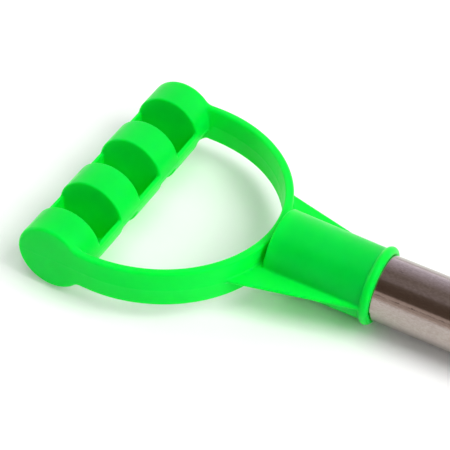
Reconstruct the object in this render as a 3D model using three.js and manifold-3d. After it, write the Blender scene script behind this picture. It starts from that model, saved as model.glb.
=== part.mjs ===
// D-grip tool handle: a one-piece moulded grip on the end of a thin-walled steel shaft.
//
// Millimetres, +Z up. The handle lies flat: the shaft runs along X, the crossbar that the hand
// holds runs along Y, and the flat of the D is horizontal. Every sub-part is drawn in the grip's
// own frame, whose origin is the middle of the crossbar's axis, and one group then moves the
// whole handle so that its origin is the middle of its underside.
import * as THREE from 'three';
import { mergeVertices } from 'three/addons/utils/BufferGeometryUtils.js';
import Module from 'manifold-3d';

// ---- driving dimensions -------------------------------------------------------------------

const FIT_GAP = 0.3;              // gap between solids that touch on the real handle

// Crossbar: a hollow bar, opened by pockets from above and from below in turn.
const BAR_RADIUS = 13.4;
const BAR_HALF_LENGTH = 49.3;
const BAR_EDGE = 1.4;             // rounding of the two end discs
const BAR_WALL = 1.4;
const POCKET_WIDTH = 15.0;
const POCKET_PITCH = 28.4;
const TOP_RIM_Z = 2.2;            // rim of the pockets that open upwards
const BOTTOM_RIM_Z = -2.6;        // rim of the pockets that open downwards

// D ring: straight arms, then half an ellipse. The sizes are those of its top and bottom edges.
const RING_STRAIGHT_X = 15.5;
const RING_OUTER = { alongX: 51.9, alongY: BAR_HALF_LENGTH };
const RING_INNER = { alongX: 48.7, alongY: 46.2 };
const RING_HALF_HEIGHT = 7.8;
const RING_DRAFT = 0.4;           // how far each face bulges out at the parting line
const PARTING_FLAT = 0.6;         // height of the flat along the parting line

// Socket for the shaft, tapered, with a rounded bead round its mouth.
const SOCKET_START_X = 68.0;
const SOCKET_START_RADIUS = 14.3;
const SOCKET_END_RADIUS = 13.65;
const SOCKET_EDGE = 0.5;          // chamfer round the closed end
const SOCKET_END_WALL = 3.4;
const MOUTH_X = 109.7;
const BEAD_RADIUS = 15.0;
const BEAD_WIDTH = 3.5;
const NECK = { halfWidth: 6.5, halfHeight: 7.2, startX: 65.6 };   // joins the ring to the socket's end

// Web plates from the ring to the bead, one on each side, in the parting plane.
const WEB_THICKNESS = 1.6;
const WEB_RING_POINT = new THREE.Vector2(57.8, 27.1);
const WEB_BEAD_POINT = new THREE.Vector2(106.4, 14.5);

// Shaft.
const TUBE_RADIUS = 12.5;
const TUBE_WALL = 1.0;
const TUBE_CHAMFER = 0.25;
const OVERALL_LENGTH = 400;
const HEAD_HOLE_RADIUS = 2.6;     // cross hole that fixes the tool's head
const HEAD_HOLE_INSET = 25;

// Blind rivet that holds the grip on the shaft, from underneath.
const RIVET_X = 88;
const RIVET = { shank: 2.0, bore: 1.2, flange: 3.9, dome: 1.15, bulb: 3.0, bulbLength: 3.6, bulbEdge: 0.8 };
const RIVET_SEAT = { radius: 4.6, z: -13.5 };
const MANDREL = { stem: 1.0, head: 1.6, headLength: 1.9, headEdge: 0.6, sunk: 0.35 };

const ROUND_SEGMENTS = 56;
const SMALL_SEGMENTS = 20;

// ---- worked out from them -----------------------------------------------------------------

const BORE_RADIUS = TUBE_RADIUS + FIT_GAP;
const TUBE_START_X = SOCKET_START_X + SOCKET_END_WALL + FIT_GAP;
const TUBE_END_X = OVERALL_LENGTH - BAR_RADIUS;
const HANDLE_MIDDLE_X = (TUBE_END_X - BAR_RADIUS) / 2;

// ---- solids and booleans ------------------------------------------------------------------

const wasm = await Module();
wasm.setup();

/** Turns a closed three.js geometry into a solid that can be cut and joined. */
function solid(geometry) {
  const bare = geometry.clone();
  bare.deleteAttribute('normal');
  bare.deleteAttribute('uv');
  const merged = mergeVertices(bare, 1e-4);
  const corners = merged.index.array;
  const kept = [];
  for (let i = 0; i < corners.length; i += 3) {
    const [a, b, c] = [corners[i], corners[i + 1], corners[i + 2]];
    if (a !== b && b !== c && c !== a) kept.push(a, b, c);
  }
  return new wasm.Manifold(new wasm.Mesh({
    numProp: 3,
    vertProperties: new Float32Array(merged.attributes.position.array),
    triVerts: new Uint32Array(kept),
  }));
}

/** Turns a solid back into a three.js geometry with flat facets. */
function geometryOf(body) {
  const mesh = body.getMesh();
  const geometry = new THREE.BufferGeometry();
  geometry.setAttribute('position', new THREE.BufferAttribute(mesh.vertProperties, 3));
  geometry.setIndex(new THREE.BufferAttribute(mesh.triVerts, 1));
  geometry.computeVertexNormals();
  return geometry;
}

/** A solid of revolution about X; profile points are (x, radius). */
function turnedAboutX(profile, segments) {
  const points = profile.map(([x, radius]) => new THREE.Vector2(radius, x));
  return solid(new THREE.LatheGeometry(points, segments).rotateZ(-Math.PI / 2));
}

/** A solid of revolution about the vertical through (x, 0); profile points are (radius, z). */
function turnedAboutZ(profile, segments, x) {
  const points = profile.map(([radius, z]) => new THREE.Vector2(radius, z));
  return solid(new THREE.LatheGeometry(points, segments).rotateX(Math.PI / 2).translate(x, 0, 0));
}

/** A block given by its lowest and highest corners. */
function block(low, high) {
  const size = high.map((value, i) => value - low[i]);
  const middle = high.map((value, i) => (value + low[i]) / 2);
  return solid(new THREE.BoxGeometry(...size).translate(...middle));
}

/** Points of an arc of radius r about (cx, cy), from one angle to the other, in degrees. */
function arc(cx, cy, r, from, to, steps) {
  return Array.from({ length: steps + 1 }, (_, i) => {
    const angle = THREE.MathUtils.degToRad(from + ((to - from) * i) / steps);
    return [cx + r * Math.cos(angle), cy + r * Math.sin(angle)];
  });
}

// ---- grip ---------------------------------------------------------------------------------

function crossbarBlank() {
  const edgeX = BAR_RADIUS - BAR_EDGE;
  const edgeY = BAR_HALF_LENGTH - BAR_EDGE;
  const profile = [
    [0, -BAR_HALF_LENGTH],
    ...arc(edgeX, -edgeY, BAR_EDGE, -90, 0, 3),
    ...arc(edgeX, edgeY, BAR_EDGE, 0, 90, 3),
    [0, BAR_HALF_LENGTH],
  ].map(([radius, y]) => new THREE.Vector2(radius, y));
  return solid(new THREE.LatheGeometry(profile, ROUND_SEGMENTS));
}

/** A pocket between two values of y that leaves only the half shell opposite its mouth. */
function pocket(yLow, yHigh, opensUp) {
  const inner = BAR_RADIUS - BAR_WALL;
  const core = solid(
    new THREE.CylinderGeometry(inner, inner, yHigh - yLow, ROUND_SEGMENTS)
      .translate(0, (yLow + yHigh) / 2, 0));
  const reach = BAR_RADIUS + 1;
  const mouth = opensUp
    ? block([-reach, yLow, TOP_RIM_Z], [reach, yHigh, reach])
    : block([-reach, yLow, -reach], [reach, yHigh, BOTTOM_RIM_Z]);
  return core.add(mouth);
}

function crossbar() {
  const ringWall = BAR_HALF_LENGTH - RING_INNER.alongY;
  let bar = crossbarBlank();
  for (const step of [-1, 0, 1]) {
    const middle = step * POCKET_PITCH;
    bar = bar.subtract(pocket(middle - POCKET_WIDTH / 2, middle + POCKET_WIDTH / 2, true));
  }
  for (const side of [-1, 1]) {
    const lobeStart = POCKET_WIDTH / 2 + BAR_WALL;
    const lobeEnd = POCKET_PITCH - POCKET_WIDTH / 2 - BAR_WALL;
    const endStart = POCKET_PITCH + POCKET_WIDTH / 2 + BAR_WALL;
    const endStop = BAR_HALF_LENGTH - ringWall - RING_DRAFT;
    for (const [near, far] of [[lobeStart, lobeEnd], [endStart, endStop]]) {
      const [yLow, yHigh] = [side * near, side * far].sort((a, b) => a - b);
      bar = bar.subtract(pocket(yLow, yHigh, false));
    }
  }
  return bar;
}

/** The D's outline between two half ellipses, with its two arms ending inside the crossbar. */
function ring() {
  const { alongX: ax, alongY: ay } = RING_OUTER;
  const { alongX: bx, alongY: by } = RING_INNER;
  const outline = new THREE.Shape();
  outline.moveTo(0, -ay);
  outline.lineTo(RING_STRAIGHT_X, -ay);
  outline.absellipse(RING_STRAIGHT_X, 0, ax, ay, -Math.PI / 2, Math.PI / 2, false);
  outline.lineTo(0, ay);
  outline.lineTo(0, by);
  outline.lineTo(RING_STRAIGHT_X, by);
  outline.absellipse(RING_STRAIGHT_X, 0, bx, by, Math.PI / 2, -Math.PI / 2, true);
  outline.lineTo(0, -by);
  const shape = new THREE.ExtrudeGeometry(outline, {
    depth: PARTING_FLAT,
    curveSegments: 40,
    bevelEnabled: true,
    bevelSegments: 1,
    bevelSize: RING_DRAFT,
    bevelThickness: RING_HALF_HEIGHT - PARTING_FLAT / 2,
  });
  return solid(shape.translate(0, 0, -PARTING_FLAT / 2));
}

/** Both web plates at once: they run through the socket, whose bore is cut afterwards. */
function webs() {
  const middle = {
    x: (RING_OUTER.alongX + RING_INNER.alongX) / 2,
    y: (RING_OUTER.alongY + RING_INNER.alongY) / 2,
  };
  const angle = Math.asin(WEB_RING_POINT.y / middle.y);
  const outline = new THREE.Shape();
  outline.absellipse(RING_STRAIGHT_X, 0, middle.x, middle.y, angle, -angle, true);
  outline.lineTo(WEB_RING_POINT.x, -WEB_RING_POINT.y);
  outline.lineTo(WEB_BEAD_POINT.x, -WEB_BEAD_POINT.y);
  outline.lineTo(WEB_BEAD_POINT.x, WEB_BEAD_POINT.y);
  outline.lineTo(WEB_RING_POINT.x, WEB_RING_POINT.y);
  const plate = new THREE.ExtrudeGeometry(outline, {
    depth: WEB_THICKNESS, curveSegments: 16, bevelEnabled: false,
  });
  return solid(plate.translate(0, 0, -WEB_THICKNESS / 2));
}

function socketBlank() {
  const beadStart = MOUTH_X - BEAD_WIDTH;
  const beadRound = BEAD_WIDTH / 2;
  const beadRise = BEAD_RADIUS - beadRound;
  return turnedAboutX([
    [SOCKET_START_X, 0],
    [SOCKET_START_X, SOCKET_START_RADIUS - SOCKET_EDGE],
    [SOCKET_START_X + SOCKET_EDGE, SOCKET_START_RADIUS],
    [beadStart, SOCKET_END_RADIUS],
    ...arc(beadStart + beadRound, beadRise, beadRound, 150, 0, 5),
    [MOUTH_X, 0],
  ], ROUND_SEGMENTS);
}

function dGrip() {
  const neck = block(
    [NECK.startX, -NECK.halfWidth, -NECK.halfHeight],
    [SOCKET_START_X + 1, NECK.halfWidth, NECK.halfHeight]);
  const bore = turnedAboutX([
    [SOCKET_START_X + SOCKET_END_WALL, 0],
    [SOCKET_START_X + SOCKET_END_WALL, BORE_RADIUS],
    [MOUTH_X + 1, BORE_RADIUS],
    [MOUTH_X + 1, 0],
  ], ROUND_SEGMENTS);
  const seat = turnedAboutZ([
    [0, -BEAD_RADIUS - 1],
    [RIVET_SEAT.radius, -BEAD_RADIUS - 1],
    [RIVET_SEAT.radius, RIVET_SEAT.z],
    [0, RIVET_SEAT.z],
  ], SMALL_SEGMENTS, RIVET_X);
  return ring().add(webs()).add(neck).add(socketBlank()).subtract(bore).add(crossbar())
    .subtract(seat).subtract(rivetHole());
}

// ---- rivet --------------------------------------------------------------------------------

const FLANGE_Z = RIVET_SEAT.z - FIT_GAP;
const BULB_Z = -(TUBE_RADIUS - TUBE_WALL) + FIT_GAP;

/** Clearance for the rivet's shank through the grip's wall and the shaft's wall. */
function rivetHole() {
  const radius = RIVET.shank + FIT_GAP;
  return turnedAboutZ([
    [0, -BEAD_RADIUS - 1],
    [radius, -BEAD_RADIUS - 1],
    [radius, BULB_Z + 1],
    [0, BULB_Z + 1],
  ], SMALL_SEGMENTS, RIVET_X);
}

function rivetBody() {
  const dome = [1.0, 0.85, 0.6, 0.3].map((share) => {
    const radius = RIVET.bore + (RIVET.flange - RIVET.bore) * Math.sqrt(1 - share * share);
    return [radius, FLANGE_Z - RIVET.dome * share];
  });
  const bulbTop = BULB_Z + RIVET.bulbLength;
  return turnedAboutZ([
    ...dome,
    [RIVET.flange, FLANGE_Z],
    [RIVET.shank, FLANGE_Z],
    [RIVET.shank, BULB_Z],
    [RIVET.bulb, BULB_Z + RIVET.bulbEdge],
    [RIVET.bulb, bulbTop - RIVET.bulbEdge],
    [RIVET.shank, bulbTop],
    [RIVET.bore, bulbTop],
    dome[0],
  ], SMALL_SEGMENTS, RIVET_X);
}

function rivetMandrel() {
  const start = FLANGE_Z - RIVET.dome + MANDREL.sunk;
  const headStart = BULB_Z + RIVET.bulbLength + FIT_GAP;
  const headEnd = headStart + MANDREL.headLength;
  return turnedAboutZ([
    [0, start],
    [MANDREL.stem, start],
    [MANDREL.stem, headStart],
    [MANDREL.head, headStart],
    [MANDREL.head, headEnd - MANDREL.headEdge],
    [MANDREL.stem, headEnd],
    [0, headEnd],
  ], SMALL_SEGMENTS, RIVET_X);
}

// ---- shaft --------------------------------------------------------------------------------

function shaftTube() {
  const inner = TUBE_RADIUS - TUBE_WALL;
  const wall = turnedAboutX([
    [TUBE_START_X, inner],
    [TUBE_START_X, TUBE_RADIUS - TUBE_CHAMFER],
    [TUBE_START_X + TUBE_CHAMFER, TUBE_RADIUS],
    [TUBE_END_X - TUBE_CHAMFER, TUBE_RADIUS],
    [TUBE_END_X, TUBE_RADIUS - TUBE_CHAMFER],
    [TUBE_END_X, inner],
    [TUBE_START_X, inner],
  ], ROUND_SEGMENTS);
  const headHole = turnedAboutZ([
    [0, -TUBE_RADIUS - 1],
    [HEAD_HOLE_RADIUS, -TUBE_RADIUS - 1],
    [HEAD_HOLE_RADIUS, TUBE_RADIUS + 1],
    [0, TUBE_RADIUS + 1],
  ], SMALL_SEGMENTS, TUBE_END_X - HEAD_HOLE_INSET);
  return wall.subtract(headHole).subtract(rivetHole());
}

// ---- assembly -----------------------------------------------------------------------------

const GREEN_PLASTIC = new THREE.MeshStandardMaterial({ color: 0x10e84a, roughness: 0.45, metalness: 0 });
const BRUSHED_STEEL = new THREE.MeshStandardMaterial({ color: 0xa39c9c, roughness: 0.35, metalness: 1 });
const RIVET_ALLOY = new THREE.MeshStandardMaterial({ color: 0xc9cbcd, roughness: 0.4, metalness: 1 });
const MANDREL_STEEL = new THREE.MeshStandardMaterial({ color: 0x8f9194, roughness: 0.5, metalness: 1 });

function part(name, body, material) {
  const mesh = new THREE.Mesh(geometryOf(body), material);
  mesh.name = name;
  return mesh;
}

const handle = new THREE.Group();
handle.position.set(-HANDLE_MIDDLE_X, 0, BEAD_RADIUS);
handle.add(
  part('d_grip', dGrip(), GREEN_PLASTIC),
  part('shaft_tube', shaftTube(), BRUSHED_STEEL),
  part('rivet_body', rivetBody(), RIVET_ALLOY),
  part('rivet_mandrel', rivetMandrel(), MANDREL_STEEL),
);

const object = new THREE.Group();
object.add(handle);

export default object;
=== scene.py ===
"""Looks of the D-grip tool handle: a moulded grip, a brushed steel shaft and the rivet that joins them.

The grip is one moulding, so its surface is worked out as a distance field in millimetres, in the
grip's own frame (origin in the middle of the crossbar's axis, X along the shaft, Z up), where joins
and cuts get their fillets and rounded edges. The field then becomes one closed mesh.
"""
import math

import bmesh
import bpy
import numpy as np
import openvdb
from mathutils import Matrix, Vector


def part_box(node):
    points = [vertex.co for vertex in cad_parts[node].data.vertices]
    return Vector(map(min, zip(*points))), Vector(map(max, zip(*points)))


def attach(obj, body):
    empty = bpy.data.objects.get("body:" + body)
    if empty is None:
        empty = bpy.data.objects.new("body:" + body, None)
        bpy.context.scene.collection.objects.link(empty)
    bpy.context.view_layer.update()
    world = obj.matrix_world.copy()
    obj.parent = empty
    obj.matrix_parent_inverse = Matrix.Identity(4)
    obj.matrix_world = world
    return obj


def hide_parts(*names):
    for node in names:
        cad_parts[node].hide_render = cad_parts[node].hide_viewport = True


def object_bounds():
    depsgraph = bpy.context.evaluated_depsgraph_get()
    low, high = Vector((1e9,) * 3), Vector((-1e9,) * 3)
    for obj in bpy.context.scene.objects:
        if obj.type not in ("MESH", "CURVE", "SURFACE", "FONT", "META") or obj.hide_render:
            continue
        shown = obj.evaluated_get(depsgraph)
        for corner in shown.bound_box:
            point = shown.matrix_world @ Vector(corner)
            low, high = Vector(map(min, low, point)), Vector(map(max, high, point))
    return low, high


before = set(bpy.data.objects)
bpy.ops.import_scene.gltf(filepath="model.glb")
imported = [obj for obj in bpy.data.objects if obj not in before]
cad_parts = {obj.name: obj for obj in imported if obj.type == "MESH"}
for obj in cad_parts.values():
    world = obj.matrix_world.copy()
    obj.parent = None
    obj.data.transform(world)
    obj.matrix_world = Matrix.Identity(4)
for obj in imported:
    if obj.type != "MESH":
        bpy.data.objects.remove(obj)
CAD_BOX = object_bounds()

MM = 0.001

# ---- driving dimensions, in millimetres ----------------------------------------------------

BAR_RADIUS = 13.4
BAR_WALL = 1.4
POCKET_WIDTH = 15.0
POCKET_PITCH = 28.4
POCKET_DRAFT = 0.012              # how fast a pocket widens towards its mouth
TOP_RIM_Z = 2.2
BOTTOM_RIM_Z = -2.6

PLATE_HALF = 1.58                 # half the wall of the D ring and of the end discs
RING_STRAIGHT_X = 15.5
RING_A, RING_B = 50.3, 47.75      # half axes of the ring's middle line
RING_HALF_HEIGHT = 7.8
RING_DRAFT = 0.4

SOCKET_START_X = 68.0
SOCKET_RADII = (14.3, 13.65)
SOCKET_FLOOR_X = 71.4
BORE_RADIUS = 12.8
MOUTH_X = 109.7
BEAD_RADIUS = 15.0
BEAD_ROUND = 1.8
BEAD_BACK = 1.9                   # from the mouth to the middle of the bead

WEB_HALF = 0.8
WEB_RING_POINT = (57.8, 27.1)
WEB_BEAD_POINT = (106.4, 14.5)
NECK_HALF = (6.5, 7.2)
NECK_START_X = 65.6

RIVET_SEAT = (4.6, -13.5)         # radius, height
RIVET_HOLE = 2.3

PARTING_RIDGE = 0.07              # flash left where the two halves of the mould meet
PARTING_WIDTH = 0.3

LIP_RADIUS = 12.58                # the snug end of the bore
LIP_LENGTH, LIP_RAMP = 4, 1.5
LEAD_IN, LEAD_IN_LENGTH = 0.2, 0.5

TAB_RADIUS = 13.15                # the tab of flash in the mouth
TAB_BACK = 0.45                   # from the mouth to the tab's middle
TAB_HALF_LENGTH = 0.75
TAB_HALF_WALL = 0.5
TAB_HALF_WIDTH = 3.2
TAB_ANGLE = 27.0                  # below the horizontal
TAB_EDGE = 0.2

POCKET_CORNER = 0.5               # rounded corners and rims of the pockets
POCKET_RIM = 0.6
POCKET_FILLET = 0.35
GRIP_FILLET = 0.7                 # where the socket, its webs and the ring meet
BAR_FILLET = 0.8                  # where the ring's arms leave the crossbar's end discs

GRIP_STEP = 0.44                  # spacing of the distance field
GRIP_MARGIN = 1.5                 # room round the grip in the field
MAX_GRIP_TRIANGLES = 190_000

# ---- where the frame puts things, in metres -------------------------------------------------

GRIP_LOW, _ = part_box("d_grip")
TUBE_LOW, TUBE_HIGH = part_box("shaft_tube")
RIVET_LOW, RIVET_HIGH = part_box("rivet_body")
MANDREL_LOW, MANDREL_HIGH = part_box("rivet_mandrel")
ORIGIN = Vector((GRIP_LOW.x + BAR_RADIUS * MM, 0, GRIP_LOW.z + BEAD_RADIUS * MM))
TUBE_RADIUS = (TUBE_HIGH.z - TUBE_LOW.z) / 2
RIVET_X = (RIVET_LOW.x + RIVET_HIGH.x) / 2
RIVET_X_IN_GRIP = (RIVET_X - ORIGIN.x) / MM


# ---- distance field ---------------------------------------------------------------------------

def smooth_step(t):
    t = np.clip(t, 0, 1)
    return t * t * (3 - 2 * t)


def smooth_min(a, b, k):
    """Union of two fields with a soft blend of width k."""
    h = np.clip(0.5 + 0.5 * (b - a) / k, 0, 1)
    return b + (a - b) * h - k * h * (1 - h)


def round_max(a, b, r):
    """Intersection of two fields, its edge rounded to radius r."""
    return np.minimum(-r, np.maximum(a, b)) + np.hypot(np.maximum(a + r, 0), np.maximum(b + r, 0))


def round_min(a, b, r):
    """Union of two fields, with a fillet of radius r in the corner between them."""
    return -round_max(-a, -b, r)


def parting_ridge(z, height=PARTING_RIDGE):
    """How far the flash line stands out at each height."""
    return height * np.exp(-(z / PARTING_WIDTH) ** 2)


def crossbar(x, y, z):
    """The hollow bar with its pockets, which open upwards and downwards in turn."""
    radius = np.hypot(x, z)
    bar = round_max(radius - BAR_RADIUS, np.abs(y) - RING_B, 0.4)
    bar = bar - parting_ridge(z)
    inner = radius - (BAR_RADIUS - BAR_WALL)
    half = POCKET_WIDTH / 2
    upper = round_min(inner, TOP_RIM_Z - z, POCKET_FILLET)
    for middle in (-POCKET_PITCH, 0, POCKET_PITCH):
        walls = np.abs(y - middle) - half - POCKET_DRAFT * z
        bar = round_max(bar, -round_max(upper, walls, POCKET_CORNER), POCKET_RIM)
    lower = round_min(inner, z - BOTTOM_RIM_Z, POCKET_FILLET)
    spans = [(half + BAR_WALL, POCKET_PITCH - half - BAR_WALL),
             (POCKET_PITCH + half + BAR_WALL, RING_B - PLATE_HALF - RING_DRAFT)]
    for near, far in spans:
        walls = np.abs(np.abs(y) - (near + far) / 2) - (far - near) / 2 + POCKET_DRAFT * z
        bar = round_max(bar, -round_max(lower, walls, POCKET_CORNER), POCKET_RIM)
    return bar


def ring_line(x, y):
    """Signed distance, outwards, from the middle line of the D ring."""
    u = np.maximum(x - RING_STRAIGHT_X, 0)
    k = np.hypot(u / RING_A, y / RING_B)
    slope = np.hypot(u / RING_A ** 2, y / RING_B ** 2) / np.maximum(k, 1e-6)
    return (k - 1) / np.maximum(slope, 1 / RING_A)


def ring_and_discs(x, y, z):
    """The D ring and the crossbar's end discs: one plate, bent along the ring's middle line."""
    fade = smooth_step((x - 6) / 22)
    half = PLATE_HALF + RING_DRAFT * fade * np.clip(1 - np.abs(z) / RING_HALF_HEIGHT, 0, 1)
    half = half + parting_ridge(z)
    wall = np.abs(ring_line(x, y)) - half
    disc = np.hypot(x, z) - BAR_RADIUS
    arm = np.maximum(np.abs(z) - RING_HALF_HEIGHT, -x)
    edge = 1.25 - 0.35 * fade
    return round_max(wall, smooth_min(disc, arm, 1.6), edge)


def socket(x, y, z):
    """The tapered socket, still solid, with the bead round its mouth."""
    radius = np.hypot(y, z)
    along = np.clip((x - SOCKET_START_X) / (MOUTH_X - 3.5 - SOCKET_START_X), 0, 1)
    taper = SOCKET_RADII[0] + (SOCKET_RADII[1] - SOCKET_RADII[0]) * along
    ends = np.maximum(SOCKET_START_X - x, x - MOUTH_X + 0.5)
    body = round_max(radius - taper, ends, 0.6) - parting_ridge(z)
    bead = np.hypot(radius - (BEAD_RADIUS - BEAD_ROUND), x - (MOUTH_X - BEAD_BACK)) - BEAD_ROUND
    bead = bead - parting_ridge(z, 0.8 * PARTING_RIDGE)
    return smooth_min(body, bead, 0.6)


def webs(x, y, z):
    """The two plates from the ring to the bead, as one that the socket hides in the middle."""
    (ax, ay), (bx, by) = WEB_RING_POINT, WEB_BEAD_POINT
    length = math.hypot(bx - ax, by - ay)
    edge = ((x - ax) * (ay - by) + (np.abs(y) - ay) * (bx - ax)) / length
    outline = np.maximum(np.maximum(edge, -ring_line(x, y)), x - bx)
    return round_max(outline, np.abs(z) - WEB_HALF, 0.6)


def neck(x, y, z):
    """The block that ties the ring's middle to the socket's closed end."""
    sides = np.maximum(np.abs(y) - NECK_HALF[0], np.abs(z) - NECK_HALF[1])
    return np.maximum(sides, np.abs(x - (NECK_START_X + SOCKET_START_X + 1) / 2)
                      - (SOCKET_START_X + 1 - NECK_START_X) / 2)


def bore(x, y, z):
    """The hole for the shaft, which narrows to a snug lip at the mouth."""
    radius = np.hypot(y, z)
    lip = (BORE_RADIUS - LIP_RADIUS) * smooth_step((x - MOUTH_X + LIP_LENGTH) / LIP_RAMP)
    lead_in = LEAD_IN * np.clip((x - MOUTH_X + LEAD_IN_LENGTH) / LEAD_IN_LENGTH, 0, 1) ** 2
    return round_max(radius - BORE_RADIUS + lip - lead_in, SOCKET_FLOOR_X - x, 0.6)


def flash_tab(x, y, z):
    """A tab of plastic squeezed out of the mould at the mouth, low on the -Y side."""
    along = np.abs(x - MOUTH_X + TAB_BACK) - TAB_HALF_LENGTH
    through = np.abs(np.hypot(y, z) - TAB_RADIUS) - TAB_HALF_WALL
    angle = math.radians(TAB_ANGLE)
    across = np.abs(y * math.sin(angle) - z * math.cos(angle)) - TAB_HALF_WIDTH
    return round_max(np.maximum(along, y), round_max(through, across, TAB_EDGE), TAB_EDGE)


def grip_field(x, y, z):
    """Signed distance to the whole grip, in millimetres: negative inside the plastic."""
    fillet = 0.01 + BAR_FILLET * smooth_step((x - 8) / 4)
    grip = round_min(crossbar(x, y, z), ring_and_discs(x, y, z), fillet)
    fixing = round_min(socket(x, y, z), webs(x, y, z), GRIP_FILLET)
    grip = np.minimum(round_min(grip, fixing, GRIP_FILLET), neck(x, y, z))
    grip = round_max(grip, -bore(x, y, z), 0.25)
    grip = np.minimum(grip, flash_tab(x, y, z))
    from_rivet = np.hypot(x - RIVET_X_IN_GRIP, y)
    seat = np.maximum(from_rivet - RIVET_SEAT[0], z - RIVET_SEAT[1])
    hole = np.maximum(from_rivet - RIVET_HOLE, z)
    return round_max(grip, -np.minimum(seat, hole), 0.2)


def field_normals(points, reach=0.04):
    """The field's gradient at each point, and its length, by central differences."""
    slopes = np.empty_like(points)
    for axis in range(3):
        step = np.zeros(3)
        step[axis] = reach
        ahead, behind = points + step, points - step
        slopes[:, axis] = (grip_field(*ahead.T) - grip_field(*behind.T)) / (2 * reach)
    lengths = np.maximum(np.linalg.norm(slopes, axis=1, keepdims=True), 1e-6)
    return slopes / lengths, lengths[:, 0]


def grip_mesh():
    """The grip's surface as fine quads, in millimetres, with every corner on the field's surface."""
    side = RING_B + 4
    low = np.array([-BAR_RADIUS - GRIP_MARGIN, -side, -BEAD_RADIUS - GRIP_MARGIN])
    high = np.array([MOUTH_X + GRIP_MARGIN, side, BEAD_RADIUS + GRIP_MARGIN])
    half_cells = np.ceil((high - low) / GRIP_STEP / 2)
    middle = (high + low) / 2
    middle[1:] = 0
    counts = 2 * half_cells.astype(int)
    start = middle - GRIP_STEP * (half_cells - 0.5)
    axes = [start[i] + GRIP_STEP * np.arange(counts[i]) for i in range(3)]
    x, y, z = np.meshgrid(*axes, indexing="ij")
    grid = openvdb.FloatGrid()
    grid.copyFromArray(grip_field(x, y, z).astype(np.float32))
    points, quads = grid.convertToQuads(isovalue=0.0)
    points = onto_surface(start + GRIP_STEP * points.astype(float))
    normals, _ = field_normals(points)
    corners = points[quads]
    facing = np.cross(corners[:, 2] - corners[:, 0], corners[:, 3] - corners[:, 1])
    if (facing * normals[quads[:, 0]]).sum() < 0:
        quads = quads[:, ::-1]
    mesh = bpy.data.meshes.new("grip_moulding")
    mesh.from_pydata(points.tolist(), [], quads.tolist())
    return mesh


def onto_surface(points):
    """Moves each point onto the field's exact surface."""
    for _ in range(3):
        normals, lengths = field_normals(points)
        move = np.clip(grip_field(*points.T) / lengths, -0.3 * GRIP_STEP, 0.3 * GRIP_STEP)
        points = points - move[:, None] * normals
    return points


def grip_moulding():
    """The grip's piece: fine quads first, then fewer faces where it is flat, then the exact surface."""
    piece = place("grip_moulding", grip_mesh())
    thin = piece.modifiers.new("thin", "DECIMATE")
    thin.ratio = MAX_GRIP_TRIANGLES / (2 * len(piece.data.polygons))
    bake_modifiers(piece)
    mesh = piece.data
    points = np.empty(3 * len(mesh.vertices))
    mesh.vertices.foreach_get("co", points)
    points = onto_surface(points.reshape(-1, 3))
    normals, _ = field_normals(points)
    mesh.vertices.foreach_set("co", (np.array(ORIGIN) + MM * points).ravel())
    mesh.shade_smooth()
    mesh.normals_split_custom_set_from_vertices(normals.tolist())
    return piece


# ---- shaft and rivet --------------------------------------------------------------------------

SEAM_ANGLE = 31.4                 # above the horizontal on the -Y side, in degrees
SEAM_HALF = 5.0
SEAM_OFFSETS = (0.5, 1, 2.2, 3.6, 4.9, 5.15)   # where the wall's rings have points near the seam
SEAM_GROOVE = 0.02
SEAM_BEAD = 0.22                  # how far the weld stands in from the inside wall
TUBE_WALL = 1.0
TUBE_CHAMFER = 0.25
TUBE_FACETS = 180
TUBE_STATIONS = 24                # rings along the wall
HEAD_HOLE_RADIUS = 2.6
HEAD_HOLE_INSET = 25.0


def seam_shift(degrees, outside):
    """How far the wall stands out at an angle: the weld is planished flat outside, a bead inside."""
    off = (degrees - SEAM_ANGLE + 180) % 360 - 180
    if outside and abs(off) < SEAM_HALF:
        chord = math.cos(math.radians(SEAM_HALF)) / math.cos(math.radians(off))
        groove = SEAM_GROOVE * math.exp(-(off / 0.5) ** 2)
        return TUBE_RADIUS * (chord - 1) - groove * MM
    if not outside:
        return -SEAM_BEAD * MM * math.exp(-(off / 2.4) ** 2)
    return 0.0


def tube_angles():
    even = [360 * i / TUBE_FACETS for i in range(TUBE_FACETS)]
    far = [a for a in even if abs((a - SEAM_ANGLE + 180) % 360 - 180) > SEAM_HALF + 0.6]
    seam = [SEAM_ANGLE] + [SEAM_ANGLE + side * off for off in SEAM_OFFSETS for side in (-1, 1)]
    return sorted(far + seam)


def tube_mesh():
    """The shaft's wall as one closed loop of rings: along the outside, back along the inside."""
    outer, wall, chamfer = TUBE_RADIUS, TUBE_WALL * MM, TUBE_CHAMFER * MM
    start, end = TUBE_LOW.x, TUBE_HIGH.x
    rings = [(start, outer - chamfer, True), (start + chamfer, outer, True)]
    rings += [(start + (end - start) * i / TUBE_STATIONS, outer, True) for i in range(1, TUBE_STATIONS)]
    rings += [(end - chamfer, outer, True), (end, outer - chamfer, True)]
    rings += [(end, outer - wall + 0.1 * MM, False), (end - 0.1 * MM, outer - wall, False)]
    rings += [(end + (start - end) * i / TUBE_STATIONS, outer - wall, False)
              for i in range(1, TUBE_STATIONS)]
    rings += [(start, outer - wall, False)]
    work = bmesh.new()
    angles = tube_angles()
    loops = []
    for x, radius, outside in rings:
        loop = []
        for degrees in angles:
            r = radius + seam_shift(degrees, outside)
            a = math.radians(degrees)
            loop.append(work.verts.new((x, -r * math.cos(a), ORIGIN.z + r * math.sin(a))))
        loops.append(loop)
    count = len(angles)
    for i, loop in enumerate(loops):
        following = loops[(i + 1) % len(loops)]
        for j in range(count):
            k = (j + 1) % count
            work.faces.new((loop[j], loop[k], following[k], following[j]))
    bmesh.ops.recalc_face_normals(work, faces=work.faces)
    mesh = bpy.data.meshes.new("shaft_tube_brushed")
    work.to_mesh(mesh)
    work.free()
    return mesh


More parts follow.
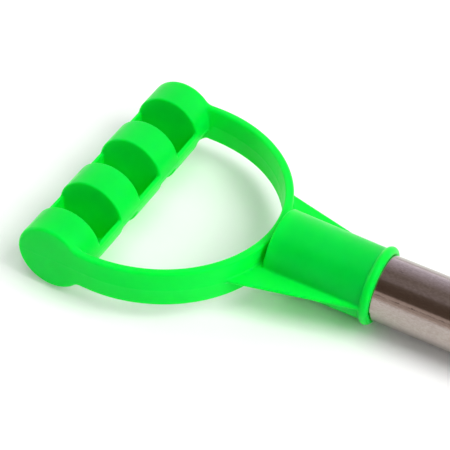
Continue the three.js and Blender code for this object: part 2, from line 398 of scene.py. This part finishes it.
def drill(piece, x, radius, z_from, z_to):
    """Cuts an upright round hole through a piece."""
    bpy.ops.mesh.primitive_cylinder_add(
        vertices=40, radius=radius * MM, depth=z_to - z_from, location=(x, 0, (z_from + z_to) / 2))
    cutter = bpy.context.object
    cut = piece.modifiers.new("hole", "BOOLEAN")
    cut.operation, cut.solver, cut.object = "DIFFERENCE", "EXACT", cutter
    bake_modifiers(piece)
    bpy.data.objects.remove(cutter, do_unlink=True)


def bake_modifiers(piece):
    """Swaps a piece's mesh for the one that its modifiers make."""
    found = piece.evaluated_get(bpy.context.evaluated_depsgraph_get())
    mesh = bpy.data.meshes.new_from_object(found)
    piece.modifiers.clear()
    piece.data = mesh


def turned(name, profile, x, facets=48):
    """A solid of revolution about the upright axis at x. Profile points are (radius, z), in metres."""
    work = bmesh.new()
    loops = []
    for radius, z in profile:
        if radius == 0:
            loops.append([work.verts.new((x, 0, z))])
            continue
        turn = [2 * math.pi * i / facets for i in range(facets)]
        loops.append([work.verts.new((x + radius * math.cos(a), radius * math.sin(a), z)) for a in turn])
    closed = profile[0][0] > 0
    pairs = list(zip(loops, loops[1:] + loops[:1])) if closed else list(zip(loops, loops[1:]))
    for a, b in pairs:
        for i in range(facets):
            j = (i + 1) % facets
            corners = [a[i % len(a)], a[j % len(a)], b[j % len(b)], b[i % len(b)]]
            work.faces.new(list(dict.fromkeys(corners)))
    bmesh.ops.recalc_face_normals(work, faces=work.faces)
    mesh = bpy.data.meshes.new(name)
    work.to_mesh(mesh)
    work.free()
    return place(name, mesh)


def place(name, mesh):
    piece = bpy.data.objects.new(name, mesh)
    bpy.context.scene.collection.objects.link(piece)
    return piece


def smooth_by_angle(piece, degrees=28):
    piece.data.shade_smooth()
    piece.data.set_sharp_from_angle(angle=math.radians(degrees))


def arc(cx, cz, r, start, stop, steps):
    turn = [math.radians(start + (stop - start) * i / steps) for i in range(steps + 1)]
    return [(cx + r * math.cos(a), cz + r * math.sin(a)) for a in turn]


def rivet_body():
    """Blind rivet: a low domed flange outside, a shank through both walls, a bulb inside."""
    flange_z = RIVET_LOW.z + 1.15 * MM
    top = RIVET_HIGH.z
    flange, shank, bore_r = 3.85 * MM, 2.0 * MM, 1.2 * MM
    height = flange_z - RIVET_LOW.z
    dome = []
    for i in range(9):
        share = 1 - i / 8
        radius = bore_r + 0.15 * MM + (flange - bore_r - 0.15 * MM) * math.sqrt(1 - share * share)
        dome.append((radius, flange_z - (height - 0.08 * MM) * share - 0.08 * MM))
    bulb = arc(1.9 * MM, top - 2.0 * MM, 1.05 * MM, -62, 62, 8)
    profile = [(bore_r, RIVET_LOW.z + 0.14 * MM), *dome, (flange - 0.04 * MM, flange_z - 0.01 * MM),
               (flange - 0.15 * MM, flange_z), (shank, flange_z), *bulb,
               (1.9 * MM, top), (bore_r, top)]
    piece = turned("rivet_body_set", profile, RIVET_X)
    smooth_by_angle(piece, 40)
    return piece


def rivet_mandrel():
    """The mandrel's stub: a broken end in the flange, and the ball head above the bulb."""
    low, high = MANDREL_LOW.z, MANDREL_HIGH.z
    stem, head = 1.0 * MM, 1.6 * MM
    head_start = high - 1.9 * MM
    profile = [(0, low + 0.05 * MM), (0.45 * stem, low + 0.12 * MM), (0.9 * stem, low),
               (stem, low + 0.1 * MM),
               (stem, head_start), (head - 0.1 * MM, head_start), (head, head_start + 0.1 * MM),
               *arc(0.6 * MM, high - 1.0 * MM, 1.0 * MM, 0, 90, 6), (0, high)]
    piece = turned("rivet_mandrel_stub", profile, RIVET_X, 32)
    smooth_by_angle(piece, 35)
    return piece


# ---- materials ----------------------------------------------------------------------------------

class Nodes:
    """A material's node tree, with short calls for the nodes that the looks below use."""

    def __init__(self, name):
        self.material = bpy.data.materials.new(name)
        self.material.use_nodes = True
        self.tree = self.material.node_tree
        self.shader = self.tree.nodes["Principled BSDF"]

    def add(self, kind, **values):
        node = self.tree.nodes.new(kind)
        for key, value in values.items():
            setattr(node, key, value)
        return node

    def link(self, source, target):
        self.tree.links.new(source, target)

    def feed(self, node, name, value):
        if isinstance(value, bpy.types.NodeSocket):
            self.link(value, node.inputs[name])
        else:
            node.inputs[name].default_value = value

    def where(self, scale=(1, 1, 1), offset=(0, 0, 0)):
        """The piece's own coordinates, in metres times scale, moved by offset first."""
        moved = self.add("ShaderNodeVectorMath", operation="ADD")
        self.link(self.add("ShaderNodeTexCoord").outputs["Object"], moved.inputs[0])
        moved.inputs[1].default_value = offset
        scaled = self.add("ShaderNodeVectorMath", operation="MULTIPLY")
        self.link(moved.outputs[0], scaled.inputs[0])
        scaled.inputs[1].default_value = scale
        return scaled.outputs[0]

    def noise(self, vector, scale, detail=2.0, roughness=0.5):
        node = self.add("ShaderNodeTexNoise")
        self.link(vector, node.inputs["Vector"])
        node.inputs["Scale"].default_value = scale
        node.inputs["Detail"].default_value = detail
        node.inputs["Roughness"].default_value = roughness
        return node.outputs["Fac"]

    def math(self, operation, a, b=0.0, c=0.0):
        node = self.add("ShaderNodeMath", operation=operation)
        for i, value in enumerate((a, b, c)):
            self.feed(node, i, value)
        return node.outputs[0]

    def ramp(self, value, low, high, to_low=0.0, to_high=1.0, smooth=False):
        node = self.add("ShaderNodeMapRange")
        if smooth:
            node.interpolation_type = "SMOOTHSTEP"
        for name, item in zip(("Value", "From Min", "From Max", "To Min", "To Max"),
                              (value, low, high, to_low, to_high)):
            self.feed(node, name, item)
        return node.outputs["Result"]

    def blend(self, factor, a, b):
        node = self.add("ShaderNodeMix", data_type="RGBA")
        self.feed(node, 0, factor)
        self.feed(node, 6, a)
        self.feed(node, 7, b)
        return node.outputs[2]

    def bump(self, height, strength, distance, normal=None):
        node = self.add("ShaderNodeBump")
        self.link(height, node.inputs["Height"])
        node.inputs["Strength"].default_value = strength
        node.inputs["Distance"].default_value = distance
        if normal is not None:
            self.link(normal, node.inputs["Normal"])
        return node.outputs["Normal"]

    def finish(self, **inputs):
        for name, value in inputs.items():
            self.feed(self.shader, name.replace("_", " "), value)
        return self.material


def green_plastic():
    """Satin polypropylene: slightly cloudy colour, a fine moulded grain, faint flow marks and scuffs."""
    n = Nodes("green_plastic")
    cloud = n.noise(n.where(), 38.0, 3.0)
    colour = n.blend(n.ramp(cloud, 0.35, 0.65), (0.000, 0.715, 0.040, 1), (0.001, 0.760, 0.050, 1))
    flow = n.noise(n.where((60, 420, 420)), 1.0, 2.0)
    colour = n.blend(n.ramp(flow, 0.62, 0.80, 0, 0.10, True), colour, (0.01, 0.78, 0.08, 1))
    scuff = n.noise(n.where((900, 240, 900)), 1.0, 4.0, 0.65)
    scuffed = n.ramp(scuff, 0.70, 0.78, 0, 0.22, True)
    colour = n.blend(scuffed, colour, (0.05, 0.82, 0.15, 1))
    grain = n.noise(n.where(), 2600.0, 3.0, 0.6)
    peel = n.noise(n.where(), 420.0, 2.0)
    rough = n.math("ADD", n.ramp(peel, 0.3, 0.7, 0.30, 0.40), n.ramp(scuff, 0.6, 0.8, 0.0, 0.12))
    normal = n.bump(peel, 0.10, 0.00008)
    normal = n.bump(grain, 0.16, 0.00002, normal)
    return n.finish(Base_Color=colour, Roughness=rough, Normal=normal, IOR=1.49,
                    Specular_IOR_Level=0.14, Specular_Tint=(0.2, 1.0, 0.8, 1), Subsurface_Weight=0.85,
                    Subsurface_Scale=0.006, Subsurface_Radius=(0.1, 1.0, 0.1))


def tube_place(n):
    """Angle round the shaft above the horizontal on the -Y side, in degrees."""
    split = n.add("ShaderNodeSeparateXYZ")
    n.link(n.where(offset=(0, 0, -ORIGIN.z)), split.inputs[0])
    angle = n.math("ARCTAN2", split.outputs["Z"], n.math("MULTIPLY", split.outputs["Y"], -1.0))
    return n.math("DEGREES", angle), split.outputs["X"]


def brushed_steel():
    """Stainless tube: brushed round the shaft and mottled, with pits, smears and a ticked weld."""
    n = Nodes("brushed_steel")
    degrees, along = tube_place(n)
    brush = n.noise(n.where((5200, 90, 90)), 1.0, 3.0, 0.65)
    lines = n.noise(n.where((1300, 30, 30)), 1.0, 2.0)
    smear = n.noise(n.where((14, 60, 60)), 1.0, 3.0)
    colour = n.blend(n.ramp(lines, 0.3, 0.7), (0.335, 0.283, 0.256, 1), (0.352, 0.300, 0.273, 1))
    colour = n.blend(n.ramp(smear, 0.45, 0.75, 0, 0.25, True), colour, (0.42, 0.37, 0.35, 1))
    mottle = n.noise(n.where((700, 1800, 1800)), 1.0, 3.0, 0.6)
    colour = n.blend(n.ramp(mottle, 0.38, 0.62), colour, n.blend(0.09, colour, (1.0, 0.95, 0.9, 1)))
    pit = n.noise(n.where((520, 900, 900)), 1.0, 2.0)
    colour = n.blend(n.ramp(pit, 0.70, 0.76, 0, 0.35, True), colour, (0.12, 0.10, 0.09, 1))
    off = n.math("ABSOLUTE", n.math("SUBTRACT", degrees, SEAM_ANGLE))
    strip = n.ramp(off, SEAM_HALF - 0.4, SEAM_HALF + 0.2, 0.30, 0.0, True)
    colour = n.blend(strip, colour, (0.25, 0.205, 0.18, 1))
    tick = n.noise(n.where((2400, 260, 260)), 1.0, 2.0)
    patch = n.noise(n.where((120, 1, 1)), 1.0, 1.0)
    middle = n.ramp(off, 0.5, 1.5, 1.0, 0.0, True)
    ticks = n.math("MULTIPLY", middle, n.ramp(tick, 0.50, 0.60, 0.0, 1.0, True))
    ticks = n.math("MULTIPLY", ticks, n.ramp(patch, 0.42, 0.62, 0.25, 0.9, True))
    colour = n.blend(ticks, colour, (0.07, 0.05, 0.045, 1))
    border = n.ramp(n.math("ABSOLUTE", n.math("SUBTRACT", off, SEAM_HALF)), 0.0, 0.7, 0.35, 0.0, True)
    colour = n.blend(border, colour, (0.22, 0.18, 0.16, 1))
    rough = n.math("ADD", n.ramp(brush, 0.3, 0.7, 0.10, 0.16), n.ramp(smear, 0.3, 0.8, 0.0, 0.06))
    height = n.math("SUBTRACT", n.math("ADD", brush, n.math("MULTIPLY", lines, 0.5)), ticks)
    normal = n.bump(height, 0.06, 0.00002)
    return n.finish(Base_Color=colour, Roughness=rough, Normal=normal, Metallic=1.0)


def rivet_alloy():
    """Aluminium, tumbled: small dents and a satin surface."""
    n = Nodes("rivet_alloy")
    spots = n.noise(n.where(), 1400.0, 3.0)
    colour = n.blend(n.ramp(spots, 0.3, 0.7), (0.62, 0.63, 0.65, 1), (0.78, 0.79, 0.80, 1))
    rough = n.ramp(spots, 0.3, 0.7, 0.30, 0.48)
    normal = n.bump(n.noise(n.where(), 2600.0, 2.0), 0.25, 0.00003)
    return n.finish(Base_Color=colour, Roughness=rough, Normal=normal, Metallic=1.0)


def mandrel_steel():
    """Dull zinc-plated steel, its colour and roughness varied by a fine grit."""
    n = Nodes("mandrel_steel")
    grit = n.noise(n.where(), 3800.0, 4.0, 0.7)
    colour = n.blend(n.ramp(grit, 0.3, 0.7), (0.26, 0.26, 0.27, 1), (0.46, 0.46, 0.47, 1))
    normal = n.bump(grit, 0.5, 0.00005)
    return n.finish(Base_Color=colour, Roughness=n.ramp(grit, 0.3, 0.7, 0.4, 0.65), Normal=normal,
                    Metallic=1.0)


def plain(name, colour, roughness=0.6):
    n = Nodes(name)
    return n.finish(Base_Color=colour, Roughness=roughness)


# ---- pieces ---------------------------------------------------------------------------------------

def add_piece(piece, node, material):
    piece.data.materials.clear()
    piece.data.materials.append(material)
    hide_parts(node)
    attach(piece, "root")


def make_pieces():
    add_piece(grip_moulding(), "d_grip", green_plastic())
    tube = place("shaft_tube_brushed", tube_mesh())
    drill(tube, TUBE_HIGH.x - HEAD_HOLE_INSET * MM, HEAD_HOLE_RADIUS, TUBE_LOW.z - MM, TUBE_HIGH.z + MM)
    drill(tube, RIVET_X, RIVET_HOLE, TUBE_LOW.z - MM, ORIGIN.z)
    smooth_by_angle(tube)
    add_piece(tube, "shaft_tube", brushed_steel())
    add_piece(rivet_body(), "rivet_body", rivet_alloy())
    add_piece(rivet_mandrel(), "rivet_mandrel", mandrel_steel())


# ---- camera, floor and light ------------------------------------------------------------------------

CAMERA_AZIMUTH, CAMERA_ELEVATION, CAMERA_ROLL = 25.94, 43.29, 3.72
CAMERA_DISTANCE = 0.645
CAMERA_LENS = 140.1
CAMERA_TARGET = (45.63, -0.94, 0.0)   # from the middle of the crossbar's axis, in millimetres


def towards(azimuth, elevation):
    """Unit vector from the object to a viewer or lamp. Azimuth 0 is on the -Y side, 90 on +X."""
    a, e = math.radians(azimuth), math.radians(elevation)
    return Vector((math.sin(a) * math.cos(e), -math.cos(a) * math.cos(e), math.sin(e)))


def add_camera():
    data = bpy.data.cameras.new("camera")
    data.lens, data.sensor_width = CAMERA_LENS, 36.0
    data.clip_start, data.clip_end = 0.01, 50.0
    camera = bpy.data.objects.new("camera", data)
    bpy.context.scene.collection.objects.link(camera)
    back = towards(CAMERA_AZIMUTH, CAMERA_ELEVATION)
    turn = back.to_track_quat("Z", "Y").to_matrix() @ Matrix.Rotation(math.radians(CAMERA_ROLL), 3, "Z")
    camera.matrix_world = Matrix.Translation(
        ORIGIN + MM * Vector(CAMERA_TARGET) + CAMERA_DISTANCE * back) @ turn.to_4x4()
    bpy.context.scene.camera = camera


def sheet(name, width, depth, centre, facing, material):
    """A flat rectangle that is part of the staging, not of the object."""
    w, d = width / 2, depth / 2
    mesh = bpy.data.meshes.new(name)
    mesh.from_pydata([(-w, -d, 0), (w, -d, 0), (w, d, 0), (-w, d, 0)], [], [(0, 1, 2, 3)])
    mesh.materials.append(material)
    flat = place(name, mesh)
    flat.matrix_world = Matrix.Translation(centre) @ facing.to_track_quat("Z", "Y").to_matrix().to_4x4()


DARK_SIDE = (-5, 38)              # azimuth and elevation
PALE, DARK = 0.63, 0.03
FADE_START, FADE_STOP = 0.25, 0.85    # cosines of the angle from the dark side
FLOOR_SIZE, FLOOR_SHADE = 8, 0.96
LAMP_DISTANCE = 1.5
LAMPS = [                         # name, azimuth, elevation, size in metres, watts
    ("key", 95, 50, (0.9, 0.9), 13.8),
    ("side", 60, 32, (0.9, 0.9), 7.2),
    ("fill", 270, 18, (0.9, 0.8), 9.0),
    ("top", 0, 86, (1.0, 1.0), 5.2)]

ARCH_RADIUS = 1.0
ARCH_REACH = (-1.0, 0.7)
ARCH_GLOW = [                     # angle over the shaft from the -Y horizon, and what shines there
    (0.0, (0.950, 0.850, 0.800)), (25.5, (0.600, 0.490, 0.440)), (28.0, (0.130, 0.090, 0.066)),
    (68.0, (0.130, 0.090, 0.066)), (69.5, (0.280, 0.230, 0.225)), (104.0, (0.250, 0.200, 0.180)),
    (126.0, (0.540, 0.480, 0.530)), (158.0, (0.960, 0.910, 1.080)), (168.0, (1.400, 1.360, 1.560)),
    (179.0, (1.650, 1.650, 1.850))]


def arch_material():
    """Glows by the angle over the shaft: dark behind the camera, then brighter towards the back."""
    n = Nodes("arch_glow")
    split = n.add("ShaderNodeSeparateXYZ")
    n.link(n.where(), split.inputs[0])
    angle = n.math("ARCTAN2", split.outputs["Z"], n.math("MULTIPLY", split.outputs["Y"], -1.0))
    start, stop = ARCH_GLOW[0][0], ARCH_GLOW[-1][0]
    ramp = n.add("ShaderNodeValToRGB")
    n.link(n.ramp(n.math("DEGREES", angle), start, stop), ramp.inputs["Fac"])
    steps = ramp.color_ramp.elements
    for i, (degrees, colour) in enumerate(ARCH_GLOW):
        share = (degrees - start) / (stop - start)
        step = steps[i] if i == 0 else steps.new(share)
        step.position, step.color = share, (*colour, 1)
    steps.remove(steps[len(ARCH_GLOW)])
    return n.finish(Base_Color=(0, 0, 0, 1), Roughness=1.0, Specular_IOR_Level=0.0,
                    Emission_Color=ramp.outputs["Color"], Emission_Strength=1.0)


def reflected_arch():
    """A curved card over the shaft that only shows in reflections."""
    start, stop = ARCH_GLOW[0][0], ARCH_GLOW[-1][0]
    steps = 48
    corners, faces = [], []
    for i in range(steps + 1):
        a = math.radians(start + (stop - start) * i / steps)
        for x in ARCH_REACH:
            corners.append((x, -ARCH_RADIUS * math.cos(a), ARCH_RADIUS * math.sin(a)))
        if i < steps:
            faces.append((2 * i, 2 * i + 1, 2 * i + 3, 2 * i + 2))
    mesh = bpy.data.meshes.new("reflected_arch")
    mesh.from_pydata(corners, [], faces)
    mesh.materials.append(arch_material())
    arch = place("reflected_arch", mesh)
    arch.location = ORIGIN
    arch.visible_camera = arch.visible_diffuse = arch.visible_shadow = False
    arch.visible_transmission = arch.visible_volume_scatter = False


def area_light(name, azimuth, elevation, size, power):
    data = bpy.data.lights.new(name, "AREA")
    data.shape, data.size, data.size_y = "RECTANGLE", size[0], size[1]
    data.energy = power
    lamp = bpy.data.objects.new(name, data)
    bpy.context.scene.collection.objects.link(lamp)
    back = towards(azimuth, elevation)
    aim = ORIGIN + Vector((0.05, 0, 0))
    turn = back.to_track_quat("Z", "Y").to_matrix().to_4x4()
    lamp.matrix_world = Matrix.Translation(aim + back * LAMP_DISTANCE) @ turn


def make_world():
    """Even pale surroundings, but dark over the camera's side, where this studio has no lamps."""
    world = bpy.data.worlds.new("studio")
    world.use_nodes = True
    tree = world.node_tree
    towards_dark = tree.nodes.new("ShaderNodeVectorMath")
    towards_dark.operation = "DOT_PRODUCT"
    tree.links.new(tree.nodes.new("ShaderNodeTexCoord").outputs["Generated"], towards_dark.inputs[0])
    towards_dark.inputs[1].default_value = towards(*DARK_SIDE)
    fade = tree.nodes.new("ShaderNodeMapRange")
    fade.interpolation_type = "SMOOTHSTEP"
    tree.links.new(towards_dark.outputs["Value"], fade.inputs["Value"])
    for name, value in zip(("From Min", "From Max", "To Min", "To Max"), (FADE_START, FADE_STOP, PALE, DARK)):
        fade.inputs[name].default_value = value
    background = tree.nodes["Background"]
    background.inputs["Color"].default_value = (1, 1, 1, 1)
    tree.links.new(fade.outputs["Result"], background.inputs["Strength"])
    bpy.context.scene.world = world


def make_studio():
    pale = (FLOOR_SHADE, FLOOR_SHADE, FLOOR_SHADE, 1)
    sheet("floor", FLOOR_SIZE, FLOOR_SIZE, Vector((0, 0, CAD_BOX[0].z)), Vector((0, 0, 1)),
          plain("pale_floor", pale, 0.9))
    make_world()
    for lamp in LAMPS:
        area_light(*lamp)
    reflected_arch()
    bpy.context.scene.view_settings.view_transform = "Standard"


make_pieces()
add_camera()
make_studio()
